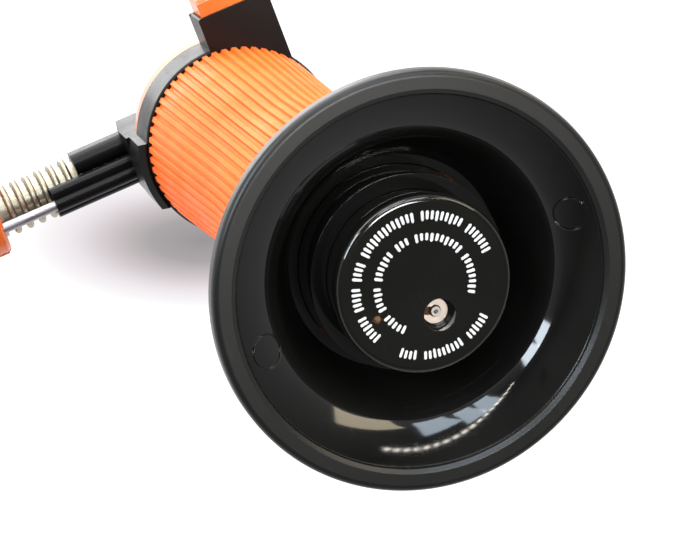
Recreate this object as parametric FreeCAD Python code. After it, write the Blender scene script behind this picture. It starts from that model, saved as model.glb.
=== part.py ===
import FreeCAD, Part
import math
import os

# Refillable gas torch. Millimetres. The origin is the centre of the foot, +Z runs up the tank
# axis, +X points the way the burner points and +Y is the side with the ignition button.

# ---- foot and tank ----
FOOT_R = 42.0
FOOT_LIP_IN_R = 37.4
FOOT_LIP_H = 3.2
DISH_CREASE_R = 27.9
DISH_CREASE_Z = 6.5
NECK_BORE_R = 20.05
NECK_BORE_Z = 20.0
NECK_OUT_R = 23.8
NECK_TOP_Z = 34.0
NECK_EDGE = 0.8
FLARE_SCALE = 5.7
FLARE_STEPS = 8
FOOT_EDGE_IN = 1.4
FOOT_LIP_ROUND = 0.8
DISH_START_Z = 1.1
BOWL_TOP_R = 21.9
GATE_MARK_R = 3.5
GATE_MARK_LINE = 0.35
GATE_MARK_POS = 32.9
GATE_MARK_Z = 3.05
GATE_MARK_DEPTH = 0.25
DISH_SLOPE_DEG = 27.2
CAP_FACE_R = 17.8
CAP_WALL_R = 16.8
CAP_LIP_H = 3.2
CAP_FLOOR_H = 5.0
CAP_WALL = 2.2
CAP_TOP_Z = 22.0
SEAL_Z = 18.0
SEAL_SECTION_R = 0.6
SKIRT_BASE_Z = 10.4
SKIRT_OUT_R = 19.95
SKIRT_FLANGE_T = 2.0
TANK_OUT_R = 18.6
TANK_IN_R = 17.2
TANK_BASE_Z = 12.6
TANK_TOP_Z = 146.0
GRIP_BASE_Z = 36.0
GRIP_KNEE_Z = 90.0
GRIP_TOP_Z = 147.5
GRIP_IN_R = 18.75
GRIP_LOW_R = 21.4
GRIP_TOP_R = 23.85
RIB_COUNT = 58
RIB_DEPTH = 0.7
RIB_CREST_SHARE = 0.46
RIB_FLANK_SHARE = 0.12

# ---- filler valve ----
FILL_X = -0.75
FILL_Y = -6.8
FILL_HOLE_R = 3.25
FILL_HOLE_DEPTH = 2.4
FILL_SEAT_R = 3.0
FILL_SEAT_Z = 3.0
FILL_BODY_R = 2.6
FILL_BODY_Z0 = 3.6
FILL_BODY_Z1 = 15.0
FILL_WALL_TOP_Z = 6.0
FILL_CHAMBER_R = 2.05
FILL_CHAMBER_TOP_Z = 13.4
FILL_STEM_R = 0.95
FILL_STEM_BORE_R = 0.45
FILL_STEM_TIP_Z = 2.5
FILL_STEM_TOP_Z = 9.0
FILL_FLANGE_R = 1.75
FILL_FLANGE_Z0 = 6.65
FILL_FLANGE_Z1 = 7.3
FILL_GUIDE_CLEARANCE = 0.07
FILL_BOSS_R = 5.2
PLATE_NOTCH = 1.7
PLATE_NOTCH_DEG = 24.0

# ---- collar and igniter ----
COLLAR_IN_R = 18.9
COLLAR_OUT_R = 24.4
COLLAR_EDGE = 0.9
COLLAR_TOP_Z = 160.5
BLOCK_X0 = -19.3
BLOCK_X1 = -0.6
BLOCK_Y1 = 32.7
BLOCK_TOP_Z = 157.5
BUTTON_POCKET_Y0 = 21.6
BUTTON_SIDE = 0.9
BUTTON_GAP = 0.3
BUTTON_Y0 = 26.2
BUTTON_Y1 = 37.6
PIEZO_X = -10.0
PIEZO_Z = 152.4
PIEZO_SIZE = 8.0
PIEZO_Y0 = 4.0
PIEZO_Y1 = 20.0
PLUNGER_R = 1.9
COVER_T = 1.6
COVER_EDGE = 0.6

# ---- head and gas valve ----
HEAD_BASE_Z = 160.8
HEAD_TOP_Z = 198.0
HEAD_WALL = 2.0
HEAD_BASE_R = 24.2
HEAD_APEX_H = 41.5
HEAD_BOW = 1.6
HEAD_TAPER = 0.6
HEAD_STEPS = 9
HEAD_WALL_TURN_Z = 176.0
SCREW_POSTS = ((-13.0, 172.5), (10.2, 187.5))
SCREW_POST_R = 3.0
SCREW_R = 1.25
SCREW_HEAD_R = 2.3
SCREW_HEAD_T = 1.6
SCREW_SINK = 0.6
SCREW_END_Y = 4.0
SLOT_HALF_LENGTH = 1.5
SLOT_HALF_WIDTH = 0.3
SLOT_DEPTH = 0.8
VALVE_COLUMN_R = 4.5
VALVE_THREAD_R = 5.0
VALVE_FLANGE_R = 7.0
VALVE_FLANGE_T = 3.5
VALVE_BASE_Z = 132.0
VALVE_TOP_Z = 187.0
VALVE_BORE_R = 1.6
DIP_OUT_R = 1.5
DIP_IN_R = 0.9
DIP_SOCKET = 4.0
GAS_WAY_R = 0.8
GLAND_R = 2.8
GLAND_DEPTH = 2.5
GLAND_GAP = 0.5
FEED_OUT_R = 2.2
FEED_X0 = 2.5
FEED_X1 = 11.0
OUTLET_WAY_R = 1.0
NEEDLE_R = 1.53
NEEDLE_SHANK_R = 1.0
NEEDLE_TIP_R = 0.3
NEEDLE_CONE = 2.5
NEEDLE_SHANK = 9.5
SEAT_Z = 172.0
KNOB_R = 9.0
KNOB_Z0 = 198.8
KNOB_Z1 = 208.0
KNOB_GRIP_COUNT = 20
KNOB_GRIP_R = 0.9
KNOB_EDGE = 1.5
KNOB_CROWN = 3.0
POINTER_X0 = 1.5
POINTER_HALF = 0.7
POINTER_H = 0.8

# ---- burner, along +X at one height ----
BURNER_Z = 178.0
LUG_X0 = 15.5
LUG_X1 = 25.5
LUG_Y0 = -6.0
LUG_Y1 = 9.3
LUG_TOP_Z = 181.5
LUG_SLOPE_X = 24.1
LUG_SLOPE_Z = 172.0
BOSS_R = 8.6
BOSS_X1 = 24.0
SADDLE_R = 26.3
SADDLE_Y0 = -8.2
SADDLE_EDGE = 1.5
BAR_SPLIT_Y = 2.5
LONG_BAR_X1 = 47.6
LONG_BAR_Y0 = -5.5
LONG_BAR_Z0 = 168.1
SHORT_BAR_X1 = 39.3
SHORT_BAR_Y = 5.1
SHORT_BAR_Z = 173.1
SHORT_BAR_R = 2.9
BAR_TOP_Z = 176.0
BAR_ROOT = 1.5
BAR_FLOOR = 1.2
BAR_EDGE = 2.0
BAR_RIDGE_Y = 1.1
BAR_RIDGE_R = 1.7
ROD_WALL = 0.7
CRADLE_R = 6.85
FIN_R = 6.75
FIN_ROOT_R = 5.0
FIN_PITCH = 3.35
FIN_WIDTH = 1.75
FIN_START_X = 27.3
FIN_COUNT = 11
JET_X0 = 8.0
JET_SHOULDER_R = 3.3
JET_SHOULDER_X1 = 13.0
JET_NOSE_R = 2.6
JET_NOSE_X1 = 19.0
JET_TIP_X = 20.5
JET_TIP_R = 1.2
ORIFICE_R = 0.15
BARREL_X0 = 14.0
BARREL_X1 = 67.0
BARREL_BORE_R = 3.8
ROD_Y = -1.9
ROD_Z = 169.7
ROD_R = 1.35
ROD_X0 = 17.0
ROD_X1 = 66.0
RING_X0 = 62.0
RING_X1 = 71.0
RING_R = 10.5
RING_CHAMFER = 1.0
RING_NOTCH_R = 0.9
ROD_BORE_R = 0.6
CERAMIC_R = 1.15
CERAMIC_BORE_R = 0.5
CERAMIC_LENGTH = 7.5
NECK_IN_R = 6.3
NECK_TUBE_R = 7.1
NECK_X1 = 73.2
FLAME_IN_R = 6.8
FLAME_OUT_R = 7.7
FLAME_X0 = 62.2
FLAME_X1 = 88.0
MOUTH_R = 7.0
MOUTH_X0 = 80.0
MOUTH_ROLL = 0.5
SPARK_X = 77.2
SPARK_R = 0.45
AIR_HOLE_X = 77.2
AIR_HOLE_R = 0.8
AIR_HOLE_COUNT = 8
HOLDER_X0 = 69.0
HOLDER_X1 = 72.0
HOLDER_MIDDLE_R = 1.8
HOLDER_HOLE_R = 0.8
HOLDER_RING_R = 4.2
HOLDER_HOLE_COUNT = 8
LEAD_R = 0.9

Z_AXIS = FreeCAD.Vector(0, 0, 1)
X_AXIS = FreeCAD.Vector(1, 0, 0)
Y_AXIS = FreeCAD.Vector(0, 1, 0)


def cyl_z(radius, z0, z1, x=0.0, y=0.0):
    return Part.makeCylinder(radius, z1 - z0, FreeCAD.Vector(x, y, z0), Z_AXIS)


def cyl_x(radius, x0, x1, y=0.0, z=BURNER_Z):
    return Part.makeCylinder(radius, x1 - x0, FreeCAD.Vector(x0, y, z), X_AXIS)


def cyl_y(radius, y0, y1, x, z):
    return Part.makeCylinder(radius, y1 - y0, FreeCAD.Vector(x, y0, z), Y_AXIS)


def tube_z(r_out, r_in, z0, z1, x=0.0, y=0.0):
    return cyl_z(r_out, z0, z1, x, y).cut(cyl_z(r_in, z0, z1, x, y))


def box(x0, x1, y0, y1, z0, z1):
    return Part.makeBox(x1 - x0, y1 - y0, z1 - z0, FreeCAD.Vector(x0, y0, z0))


def turned_z(edges):
    """Solid of revolution about the tank axis from edges lying in the XZ plane."""
    face = Part.Face(Part.Wire(edges))
    return face.revolve(FreeCAD.Vector(0, 0, 0), Z_AXIS, 360)


def line_rz(a, b):
    return Part.makeLine(FreeCAD.Vector(a[0], 0, a[1]), FreeCAD.Vector(b[0], 0, b[1]))


def curve_rz(points):
    """Smooth curve through (radius, height) points in the XZ plane."""
    spline = Part.BSplineCurve()
    spline.interpolate([FreeCAD.Vector(r, 0, z) for r, z in points])
    return spline.toShape()


def chain_rz(points):
    return [line_rz(a, b) for a, b in zip(points, points[1:])]


def turned_x(points):
    """Solid of revolution about the burner axis from (x, radius) points."""
    corners = [FreeCAD.Vector(x, 0, BURNER_Z + r) for x, r in points]
    face = Part.Face(Part.makePolygon(corners + [corners[0]]))
    return face.revolve(FreeCAD.Vector(0, 0, BURNER_Z), X_AXIS, 360)


def pipe(points, radius):
    """Round wire along straight runs, with a ball at each bend."""
    solid = None
    for a, b in zip(points, points[1:]):
        start = FreeCAD.Vector(*a)
        run = FreeCAD.Vector(*b).sub(start)
        piece = Part.makeCylinder(radius, run.Length, start, run)
        solid = piece if solid is None else solid.fuse(piece)
    for middle in points[1:-1]:
        solid = solid.fuse(Part.makeSphere(radius, FreeCAD.Vector(*middle)))
    return solid.removeSplitter()


def flare_radius(z):
    """Outer radius of the foot at one height: quick fall from the rim, then a straight neck."""
    return NECK_OUT_R + (FOOT_R - NECK_OUT_R) * math.exp((FOOT_LIP_H - z) / FLARE_SCALE)


def flare_points():
    """(radius, height) points up the outside of the foot, closer together near the rim."""
    rise = NECK_TOP_Z - NECK_EDGE - FOOT_LIP_H
    heights = [FOOT_LIP_H + rise * (index / FLARE_STEPS) ** 2 for index in range(FLARE_STEPS + 1)]
    return [(flare_radius(z), z) for z in heights]


def stand_base():
    """Flared foot: flat contact lip, shallow dish rolling into a steep bowl, neck that grips the skirt."""
    lip_edge_r = FOOT_R - FOOT_EDGE_IN
    lip_in_foot_r = FOOT_LIP_IN_R + FOOT_LIP_ROUND
    rim_z = FOOT_LIP_H / 2
    outer = flare_points()
    dish_start = (FOOT_LIP_IN_R - 0.3, DISH_START_Z)
    crease = (DISH_CREASE_R, DISH_CREASE_Z)
    dish = [(BOWL_TOP_R, NECK_BORE_Z), (22.9, 17.6), (24.5, 13.6), (26.0, 10.1), (27.0, 8.05), crease,
            (29.0, 5.3), (30.4, 4.3), (32.2, 3.3), (34.5, 2.2), dish_start]
    edges = [curve_rz([(lip_edge_r, 0), (FOOT_R - 0.35, 0.4), (FOOT_R, rim_z)])]
    edges.append(line_rz((FOOT_R, rim_z), outer[0]))
    edges.append(curve_rz(outer))
    edges += chain_rz([outer[-1], (NECK_OUT_R - NECK_EDGE, NECK_TOP_Z), (NECK_BORE_R, NECK_TOP_Z),
                       (NECK_BORE_R, NECK_BORE_Z), (BOWL_TOP_R, NECK_BORE_Z)])
    edges.append(curve_rz(dish))
    edges += chain_rz([dish_start, (FOOT_LIP_IN_R, DISH_START_Z / 2), (lip_in_foot_r, 0), (lip_edge_r, 0)])
    body = turned_z(edges)
    for turn in (0, 180):
        mark = gate_mark()
        mark.rotate(FreeCAD.Vector(0, 0, 0), Z_AXIS, turn)
        body = body.cut(mark)
    return body


def gate_mark():
    """Shallow ring cutter standing square on the sloping dish, at +X."""
    slope = math.radians(DISH_SLOPE_DEG)
    inward = FreeCAD.Vector(math.sin(slope), 0, math.cos(slope))
    centre = FreeCAD.Vector(GATE_MARK_POS, 0, GATE_MARK_Z)
    start = centre.sub(FreeCAD.Vector(inward).multiply(1.0))
    length = 1.0 + GATE_MARK_DEPTH
    outer = Part.makeCylinder(GATE_MARK_R, length, start, inward)
    return outer.cut(Part.makeCylinder(GATE_MARK_R - GATE_MARK_LINE, length, start, inward))


def tank_cap():
    """Round closing cap of the tank, with the filler hole and the boss that holds the filler valve."""
    edges = chain_rz([(0, 0), (CAP_FACE_R - 1.2, 0)])
    edges.append(curve_rz([(CAP_FACE_R - 1.2, 0), (CAP_FACE_R - 0.35, 0.35), (CAP_FACE_R, 1.2)]))
    groove_r = CAP_WALL_R - 2 * SEAL_SECTION_R + 0.4
    edges += chain_rz([(CAP_FACE_R, 1.2), (CAP_FACE_R, CAP_LIP_H), (CAP_WALL_R, CAP_LIP_H),
                       (CAP_WALL_R, SEAL_Z - 0.7), (groove_r, SEAL_Z - 0.7), (groove_r, SEAL_Z + 0.7),
                       (CAP_WALL_R, SEAL_Z + 0.7), (CAP_WALL_R, CAP_TOP_Z),
                       (CAP_WALL_R - CAP_WALL, CAP_TOP_Z), (CAP_WALL_R - CAP_WALL, CAP_FLOOR_H),
                       (0, CAP_FLOOR_H), (0, 0)])
    body = turned_z(edges)
    body = body.fuse(cyl_z(FILL_BOSS_R, CAP_FLOOR_H, FILL_BODY_Z1 - 1.5, FILL_X, FILL_Y))
    body = body.cut(cyl_z(FILL_HOLE_R, -1, FILL_HOLE_DEPTH, FILL_X, FILL_Y))
    body = body.cut(cyl_z(FILL_SEAT_R, FILL_HOLE_DEPTH, FILL_SEAT_Z, FILL_X, FILL_Y))
    return body.cut(cyl_z(FILL_BODY_R, FILL_SEAT_Z, FILL_BODY_Z1 + 1, FILL_X, FILL_Y))


def cap_seal():
    ring_r = TANK_IN_R - SEAL_SECTION_R
    return Part.makeTorus(ring_r, SEAL_SECTION_R, FreeCAD.Vector(0, 0, SEAL_Z), Z_AXIS)


def filler_plate():
    """Thin retaining plate seen in the filler hole, with a notch from the stem out to one side."""
    plate = cyl_z(FILL_BODY_R - 0.05, FILL_SEAT_Z + 0.1, FILL_BODY_Z0, FILL_X, FILL_Y)
    plate = plate.cut(cyl_z(FILL_STEM_R + 0.25, 0, FILL_BODY_Z0, FILL_X, FILL_Y))
    notch = box(0, FILL_BODY_R + 1, -PLATE_NOTCH / 2, PLATE_NOTCH / 2, 0, FILL_BODY_Z0)
    notch.rotate(FreeCAD.Vector(0, 0, 0), Z_AXIS, PLATE_NOTCH_DEG)
    notch.translate(FreeCAD.Vector(FILL_X, FILL_Y, 0))
    return plate.cut(notch)


def filler_valve_body():
    body = cyl_z(FILL_BODY_R, FILL_BODY_Z0, FILL_BODY_Z1, FILL_X, FILL_Y)
    body = body.cut(cyl_z(FILL_STEM_R + FILL_GUIDE_CLEARANCE, 0, FILL_WALL_TOP_Z, FILL_X, FILL_Y))
    body = body.cut(cyl_z(FILL_CHAMBER_R, FILL_WALL_TOP_Z, FILL_CHAMBER_TOP_Z, FILL_X, FILL_Y))
    return body.cut(cyl_z(FILL_STEM_BORE_R * 2, FILL_CHAMBER_TOP_Z, FILL_BODY_Z1, FILL_X, FILL_Y))


def filler_valve_stem():
    stem = cyl_z(FILL_STEM_R, FILL_STEM_TIP_Z, FILL_STEM_TOP_Z, FILL_X, FILL_Y)
    stem = stem.fuse(cyl_z(FILL_FLANGE_R, FILL_FLANGE_Z0, FILL_FLANGE_Z1, FILL_X, FILL_Y))
    stem = stem.cut(cyl_z(FILL_STEM_BORE_R, 0, FILL_FLANGE_Z0 - 0.3, FILL_X, FILL_Y))
    return stem.removeSplitter()


def filler_valve_seal():
    return tube_z(FILL_CHAMBER_R, FILL_STEM_R + FILL_GUIDE_CLEARANCE, FILL_WALL_TOP_Z, FILL_FLANGE_Z0 - 0.05,
                  FILL_X, FILL_Y)


def filler_valve_spring():
    """Coil spring that holds the filler stem shut."""
    wire_r = 0.18
    coil_r = 1.4
    start_z = FILL_FLANGE_Z1 + wire_r
    length = FILL_CHAMBER_TOP_Z - FILL_FLANGE_Z1 - 2 * wire_r
    turns = 6
    helix = Part.makeHelix(length / turns, length, coil_r)
    section = Part.Wire(Part.makeCircle(wire_r, FreeCAD.Vector(coil_r, 0, 0), Y_AXIS))
    coil = Part.Wire(helix).makePipeShell([section], True, True)
    coil.translate(FreeCAD.Vector(FILL_X, FILL_Y, start_z))
    return coil


def tank_skirt():
    """Black sleeve at the bottom of the tank, which the foot pushes onto."""
    flange_top = SKIRT_BASE_Z + SKIRT_FLANGE_T
    body = tube_z(SKIRT_OUT_R, CAP_WALL_R + 0.1, SKIRT_BASE_Z, flange_top)
    return body.fuse(tube_z(SKIRT_OUT_R, TANK_OUT_R + 0.1, flange_top, GRIP_BASE_Z)).removeSplitter()


def tank_shell():
    return tube_z(TANK_OUT_R, TANK_IN_R, TANK_BASE_Z, TANK_TOP_Z)


def tank_top_plug():
    body = cyl_z(TANK_IN_R - 0.05, TANK_TOP_Z - 10, TANK_TOP_Z)
    groove = tube_z(TANK_IN_R, TANK_IN_R - 2 * SEAL_SECTION_R, TANK_TOP_Z - 5.7, TANK_TOP_Z - 4.3)
    return body.cut(groove).cut(cyl_z(VALVE_THREAD_R, 0, TANK_TOP_Z))


def plug_seal():
    ring_r = TANK_IN_R - SEAL_SECTION_R
    return Part.makeTorus(ring_r, SEAL_SECTION_R, FreeCAD.Vector(0, 0, TANK_TOP_Z - 5.0), Z_AXIS)


def dip_tube():
    return tube_z(DIP_OUT_R, DIP_IN_R, CAP_TOP_Z + 2, VALVE_BASE_Z + DIP_SOCKET)


def rib_outline(crest_r, z):
    """Closed outline of the ribbed grip at one height: flat crests, flat valleys, sloped flanks."""
    step = 2 * math.pi / RIB_COUNT
    valley_r = crest_r - RIB_DEPTH
    half_crest = RIB_CREST_SHARE * step / 2
    flank = RIB_FLANK_SHARE * step
    points = []
    for index in range(RIB_COUNT):
        middle = index * step
        for angle, radius in ((middle - half_crest, crest_r), (middle + half_crest, crest_r),
                              (middle + half_crest + flank, valley_r),
                              (middle + step - half_crest - flank, valley_r)):
            points.append(FreeCAD.Vector(radius * math.cos(angle), radius * math.sin(angle), z))
    return Part.makePolygon(points + [points[0]])


def grip_sleeve():
    """Ribbed grip round the tank: straight below the knee, widening above it."""
    sections = [rib_outline(GRIP_LOW_R, GRIP_BASE_Z), rib_outline(GRIP_LOW_R, GRIP_KNEE_Z),
                rib_outline(GRIP_TOP_R, GRIP_TOP_Z)]
    body = Part.makeLoft(sections, True, True)
    return body.cut(cyl_z(GRIP_IN_R, GRIP_BASE_Z - 1, GRIP_TOP_Z + 1))


def collar_housing():
    """Collar round the top of the grip, with the block that holds the igniter and its button."""
    edge_r = COLLAR_OUT_R - COLLAR_EDGE / 2
    ring = chain_rz([(COLLAR_IN_R, GRIP_TOP_Z), (edge_r, GRIP_TOP_Z)])
    ring.append(curve_rz([(edge_r, GRIP_TOP_Z), (COLLAR_OUT_R - 0.12, GRIP_TOP_Z + COLLAR_EDGE * 0.4),
                          (COLLAR_OUT_R, GRIP_TOP_Z + COLLAR_EDGE)]))
    ring += chain_rz([(COLLAR_OUT_R, GRIP_TOP_Z + COLLAR_EDGE), (COLLAR_OUT_R, COLLAR_TOP_Z),
                      (COLLAR_IN_R, COLLAR_TOP_Z), (COLLAR_IN_R, GRIP_TOP_Z)])
    block = box(BLOCK_X0, BLOCK_X1, 10, BLOCK_Y1, GRIP_TOP_Z, BLOCK_TOP_Z)
    block = block.makeFillet(0.7, [e for e in block.Edges if is_block_edge(e)])
    block = block.cut(cyl_z(COLLAR_IN_R, GRIP_TOP_Z - 1, BLOCK_TOP_Z + 1))
    body = turned_z(ring).fuse(block)
    pocket = box(BLOCK_X0 + BUTTON_SIDE, BLOCK_X1 - BUTTON_SIDE, BUTTON_POCKET_Y0, BLOCK_Y1 + 1,
                 GRIP_TOP_Z + BUTTON_SIDE, BLOCK_TOP_Z)
    half = PIEZO_SIZE / 2 + 0.15
    channel = box(PIEZO_X - half, PIEZO_X + half, PIEZO_Y0, BUTTON_POCKET_Y0, PIEZO_Z - half, BLOCK_TOP_Z)
    return body.cut(pocket).cut(channel)


def is_block_edge(edge):
    """True for the two upright edges at the outer end of the igniter block."""
    a = edge.Vertexes[0].Point
    b = edge.Vertexes[-1].Point
    upright = abs(a.x - b.x) < 0.01 and abs(a.y - b.y) < 0.01
    return upright and abs(a.y - BLOCK_Y1) < 0.01


def igniter_cover():
    """Lid over the button pocket, cut to fit against the collar."""
    body = box(BLOCK_X0, BLOCK_X1, 10, BLOCK_Y1, BLOCK_TOP_Z, BLOCK_TOP_Z + COVER_T)
    outer = [e for e in body.Edges if abs(e.CenterOfMass.z - BLOCK_TOP_Z - COVER_T) < 0.01]
    body = body.makeFillet(COVER_EDGE, outer)
    return body.cut(cyl_z(COLLAR_OUT_R + 0.02, BLOCK_TOP_Z - 1, BLOCK_TOP_Z + COVER_T + 1))


def piezo_igniter():
    half = PIEZO_SIZE / 2
    body = box(PIEZO_X - half, PIEZO_X + half, PIEZO_Y0, PIEZO_Y1, PIEZO_Z - half, PIEZO_Z + half)
    return body.cut(cyl_y(PLUNGER_R + 0.4, PIEZO_Y0 + 4.5, PIEZO_Y1, PIEZO_X, PIEZO_Z))


def ignition_button():
    """Push button with a rounded thumb face and the plunger that works the igniter."""
    x0 = BLOCK_X0 + BUTTON_SIDE + BUTTON_GAP
    x1 = BLOCK_X1 - BUTTON_SIDE - BUTTON_GAP
    z0 = GRIP_TOP_Z + BUTTON_SIDE + BUTTON_GAP
    z1 = BLOCK_TOP_Z - BUTTON_GAP
    body = box(x0, x1, BUTTON_Y0, BUTTON_Y1, z0, z1)
    face = [e for e in body.Edges if abs(e.CenterOfMass.y - BUTTON_Y1) < 0.01]
    body = body.makeFillet(1.6, face)
    plunger = cyl_y(PLUNGER_R, PIEZO_Y1 - 5, BUTTON_Y0 + 1, PIEZO_X, PIEZO_Z)
    return body.fuse(plunger).removeSplitter()


def head_radius(z):
    """Outer radius of the head at one height: a blunt dome cut off flat at its top."""
    climb = (z - HEAD_BASE_Z) / HEAD_APEX_H
    return HEAD_BASE_R * (1 - climb ** HEAD_BOW) ** HEAD_TAPER


def dome(shrink, top_z):
    """Solid dome that follows the head outline, set in by one wall when shrink is the wall."""
    points = []
    for index in range(HEAD_STEPS + 1):
        z = HEAD_BASE_Z + (HEAD_TOP_Z - HEAD_BASE_Z) * index / HEAD_STEPS
        drop = shrink * max(0.0, z - HEAD_WALL_TURN_Z) / (HEAD_TOP_Z - HEAD_WALL_TURN_Z)
        points.append((head_radius(z) - shrink, z - drop))
    edges = [curve_rz(points)]
    edges += chain_rz([points[-1], (0, top_z), (0, HEAD_BASE_Z), points[0]])
    return turned_z(edges)


def head_shell():
    """Whole head shell before it is split: a dome with the burner window and two screw posts."""
    outside = dome(0.0, HEAD_TOP_Z)
    body = outside.cut(dome(HEAD_WALL, HEAD_TOP_Z - HEAD_WALL))
    for x, z in SCREW_POSTS:
        body = body.fuse(cyl_y(SCREW_POST_R, -FOOT_R, FOOT_R, x, z).common(outside))
    body = body.cut(cyl_z(VALVE_COLUMN_R + 0.3, HEAD_BASE_Z, HEAD_TOP_Z + 1))
    window_half = BOSS_R + 0.3
    window = box(LUG_X0 - 1.0, FOOT_R, -window_half, max(window_half, LUG_Y1 + 0.3), HEAD_BASE_Z - 1,
                 BURNER_Z + window_half)
    body = body.cut(window)
    for x, z in SCREW_POSTS:
        body = body.cut(cyl_y(SCREW_R, -FOOT_R, SCREW_END_Y + 0.5, x, z))
        body = body.cut(cyl_y(SCREW_HEAD_R + 0.1, -FOOT_R, screw_head_y(x, z) + SCREW_HEAD_T, x, z))
    return body


def screw_head_y(x, z):
    """Depth at which a screw head sits below the right-hand surface of the head shell."""
    return -math.sqrt(head_radius(z) ** 2 - x ** 2) + SCREW_SINK


def head_shell_left():
    return head_shell().common(box(-30, 30, 0, 30, HEAD_BASE_Z - 1, HEAD_TOP_Z + 1))


def head_shell_right():
    return head_shell().common(box(-30, 30, -30, 0, HEAD_BASE_Z - 1, HEAD_TOP_Z + 1))


def head_screws():
    """The two cross-head screws that hold the head halves together."""
    screws = []
    for x, z in SCREW_POSTS:
        head_y = screw_head_y(x, z)
        neck_y = head_y + SCREW_HEAD_T
        screw = cyl_y(SCREW_R, neck_y, SCREW_END_Y, x, z)
        screw = screw.fuse(cyl_y(SCREW_HEAD_R, head_y, neck_y, x, z))
        for half_x, half_z in ((SLOT_HALF_LENGTH, SLOT_HALF_WIDTH), (SLOT_HALF_WIDTH, SLOT_HALF_LENGTH)):
            slot = box(x - half_x, x + half_x, head_y, head_y + SLOT_DEPTH, z - half_z, z + half_z)
            screw = screw.cut(slot)
        screws.append(screw)
    return Part.makeCompound(screws)


def valve_body():
    """Brass gas valve: threaded foot in the tank plug, flange, column, needle bore and side outlet."""
    body = cyl_z(VALVE_THREAD_R, VALVE_BASE_Z, TANK_TOP_Z)
    flange_top = TANK_TOP_Z + VALVE_FLANGE_T
    socket_top = VALVE_BASE_Z + DIP_SOCKET
    body = body.fuse(cyl_z(VALVE_FLANGE_R, TANK_TOP_Z, flange_top))
    body = body.fuse(cyl_z(VALVE_COLUMN_R, flange_top, VALVE_TOP_Z))
    body = body.cut(cyl_z(DIP_OUT_R, VALVE_BASE_Z, socket_top))
    body = body.cut(cyl_z(GAS_WAY_R, socket_top, SEAT_Z))
    body = body.cut(cyl_z(VALVE_BORE_R, SEAT_Z, VALVE_TOP_Z))
    body = body.cut(cyl_z(GLAND_R, VALVE_TOP_Z - GLAND_DEPTH, VALVE_TOP_Z))
    body = body.cut(cyl_x(FEED_OUT_R, FEED_X0, VALVE_COLUMN_R + 1))
    return body.cut(cyl_x(OUTLET_WAY_R, 0, FEED_X0 + 0.5))


def valve_needle():
    """Spindle under the knob: a full-width guide, a slim shank past the outlet and a cone on the seat."""
    cone_top = SEAT_Z + NEEDLE_CONE - 0.2
    shank_top = SEAT_Z + NEEDLE_SHANK
    tip_at = FreeCAD.Vector(0, 0, SEAT_Z - 0.2)
    tip = Part.makeCone(NEEDLE_TIP_R, NEEDLE_SHANK_R, NEEDLE_CONE, tip_at, Z_AXIS)
    body = tip.fuse(cyl_z(NEEDLE_SHANK_R, cone_top, shank_top))
    return body.fuse(cyl_z(NEEDLE_R, shank_top, KNOB_Z1 - KNOB_CROWN)).removeSplitter()


def needle_seal():
    return tube_z(GLAND_R, VALVE_BORE_R, VALVE_TOP_Z - GLAND_DEPTH, VALVE_TOP_Z - GLAND_GAP)


def gas_knob():
    """Round control knob on top of the head with finger grooves and a raised pointer."""
    body = cyl_z(KNOB_R, KNOB_Z0, KNOB_Z1)
    top = [e for e in body.Edges if abs(e.CenterOfMass.z - KNOB_Z1) < 0.01]
    body = body.makeFillet(KNOB_EDGE, top)
    for index in range(KNOB_GRIP_COUNT):
        angle = 2 * math.pi * index / KNOB_GRIP_COUNT
        x = (KNOB_R + 0.4) * math.cos(angle)
        y = (KNOB_R + 0.4) * math.sin(angle)
        body = body.cut(cyl_z(KNOB_GRIP_R, KNOB_Z0 - 1, KNOB_Z1 + 1, x, y))
    pointer_x1 = KNOB_R - 2 * KNOB_GRIP_R
    pointer_top = KNOB_Z1 + POINTER_H
    body = body.fuse(box(POINTER_X0, pointer_x1, -POINTER_HALF, POINTER_HALF, KNOB_Z1 - 0.2, pointer_top))
    return body.cut(cyl_z(NEEDLE_R, KNOB_Z0 - 1, KNOB_Z1 - KNOB_CROWN))


def jet_tube():
    """Short brass feed tube from the valve outlet into the back of the jet."""
    return cyl_x(FEED_OUT_R, FEED_X0, FEED_X1).cut(cyl_x(GAS_WAY_R, FEED_X0, FEED_X1))


def gas_jet():
    """Brass jet: a shouldered body on the feed tube, narrowing to the orifice inside the barrel."""
    outer = [(JET_X0, 0.0), (JET_X0, JET_SHOULDER_R), (JET_SHOULDER_X1, JET_SHOULDER_R),
             (JET_SHOULDER_X1, JET_NOSE_R), (JET_NOSE_X1, JET_NOSE_R), (JET_TIP_X, JET_TIP_R),
             (JET_TIP_X, 0.0)]
    body = turned_x(outer)
    body = body.cut(cyl_x(FEED_OUT_R, JET_X0 - 1, FEED_X1))
    body = body.cut(cyl_x(OUTLET_WAY_R, FEED_X1 - 1, JET_NOSE_X1 - 0.5))
    return body.cut(cyl_x(ORIFICE_R, JET_NOSE_X1 - 1, JET_TIP_X + 1))


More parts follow.
